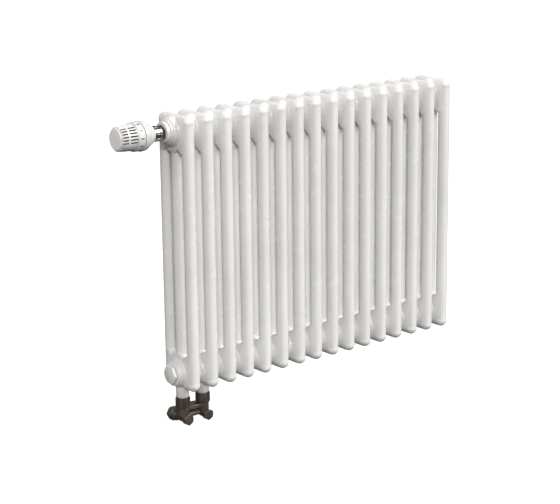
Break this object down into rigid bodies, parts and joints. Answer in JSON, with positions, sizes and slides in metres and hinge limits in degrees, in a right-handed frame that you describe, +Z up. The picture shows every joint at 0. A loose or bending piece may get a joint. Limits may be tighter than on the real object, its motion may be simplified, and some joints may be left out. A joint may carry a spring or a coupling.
{
  "type": "column radiator",
  "caption": "White wall-hung steel column radiator with a thermostatic valve head and a twin-pipe connection block under one end.",
  "frame": {"origin": "middle of the row and of its depth, on the underside of the top headers, where wall brackets carry the radiator", "axes": "+X along the row, away from the thermostatic head; +Y towards the wall; +Z up"},
  "size_m": [0.8766, 0.102, 0.645],
  "materials": {
    "enamel": "gloss",
    "zinc": "satin",
    "brass": "satin",
    "chrome": "polished",
    "bronze": "satin",
    "rubber": "matte",
    "fibre": "matte",
    "head_plastic": "satin"
  },
  "bodies": {
    "radiator": {"section_01": "enamel", "section_02": "enamel", "section_03": "enamel", "section_04": "enamel", "section_05": "enamel", "section_06": "enamel", "section_07": "enamel", "section_08": "enamel", "section_09": "enamel", "section_10": "enamel", "section_11": "enamel", "section_12": "enamel", "section_13": "enamel", "section_14": "enamel", "section_15": "enamel", "section_16": "enamel", "flow_divider": "zinc", "upper_left_bush": "enamel", "valve_insert": "brass", "insert_seal": "rubber", "stem_spring": "zinc", "gland": "brass", "head_base": "head_plastic", "union_nut": "chrome", "overtravel_spring": "zinc", "lower_left_bush": "enamel", "lower_left_seal": "fibre", "lower_left_plug": "enamel", "lower_right_bush": "enamel", "lower_right_seal": "fibre", "lower_right_plug": "enamel", "upper_right_bush": "enamel", "upper_right_seal": "fibre", "vent_plug": "chrome", "left_stub": "enamel", "right_stub": "enamel", "block_body": "bronze", "block_seals": "fibre", "left_union_nut": "bronze", "right_union_nut": "bronze", "spindle_seals": "rubber", "cap_seals": "rubber", "left_pipe_nut": "bronze", "right_pipe_nut": "bronze", "clamping_rings": "brass"},
    "handwheel": {"handwheel": "head_plastic", "scale_marks": "rubber", "end_cap": "head_plastic"},
    "sensor_carriage": {"sensor": "zinc", "push_pin": "zinc"},
    "stem": {"valve_stem": "zinc", "seat_disc": "rubber"},
    "vent_key_screw": {"vent_screw": "brass"},
    "left_shut_off_spindle": {"left_spindle": "brass"},
    "right_shut_off_spindle": {"right_spindle": "brass"},
    "left_shut_off_cone": {"left_cone": "brass"},
    "right_shut_off_cone": {"right_cone": "brass"},
    "left_spindle_cap": {"left_cap": "bronze"},
    "right_spindle_cap": {"right_cap": "bronze"}
  },
  "joints": [
    {"name": "setting_turn", "type": "hinge", "parent": "radiator", "child": "handwheel", "pos_m": [-0.345, 0, 0.035], "axis": [1, 0, 0], "range_deg": [-128, 128]},
    {"name": "sensor_slide", "type": "slide", "parent": "radiator", "child": "sensor_carriage", "axis": [1, 0, 0], "range_m": [-0.0012, 0.0012], "deforming": ["overtravel_spring"]},
    {"name": "stem_slide", "type": "slide", "parent": "radiator", "child": "stem", "axis": [1, 0, 0], "range_m": [-0.0012, 0.0012], "deforming": ["stem_spring"]},
    {"name": "vent_turn", "type": "hinge", "parent": "radiator", "child": "vent_key_screw", "pos_m": [0.345, 0, 0.035], "axis": [1, 0, 0], "range_deg": [0, 360]},
    {"name": "left_spindle_turn", "type": "hinge", "parent": "radiator", "child": "left_shut_off_spindle", "pos_m": [-0.347, 0, -0.564], "axis": [0, 1, 0], "range_deg": [0, 1080]},
    {"name": "left_cone_slide", "type": "slide", "parent": "radiator", "child": "left_shut_off_cone", "axis": [0, 1, 0], "range_m": [0, 0.0037]},
    {"name": "left_cap_off", "type": "slide", "parent": "radiator", "child": "left_spindle_cap", "axis": [0, -1, 0], "range_m": [0, 0.03]},
    {"name": "right_spindle_turn", "type": "hinge", "parent": "radiator", "child": "right_shut_off_spindle", "pos_m": [-0.297, 0, -0.564], "axis": [0, 1, 0], "range_deg": [0, 1080]},
    {"name": "right_cone_slide", "type": "slide", "parent": "radiator", "child": "right_shut_off_cone", "axis": [0, 1, 0], "range_m": [0, 0.0037]},
    {"name": "right_cap_off", "type": "slide", "parent": "radiator", "child": "right_spindle_cap", "axis": [0, -1, 0], "range_m": [0, 0.03]}
  ],
  "couplings": [
    {"joint": "sensor_slide", "follows": "setting_turn", "m_per_rad": 0.00053661},
    {"joint": "stem_slide", "follows": "setting_turn", "m_per_rad": 0.00053661},
    {"joint": "left_cone_slide", "follows": "left_spindle_turn", "m_per_rad": 0.00019609},
    {"joint": "right_cone_slide", "follows": "right_spindle_turn", "m_per_rad": 0.00019609}
  ]
}
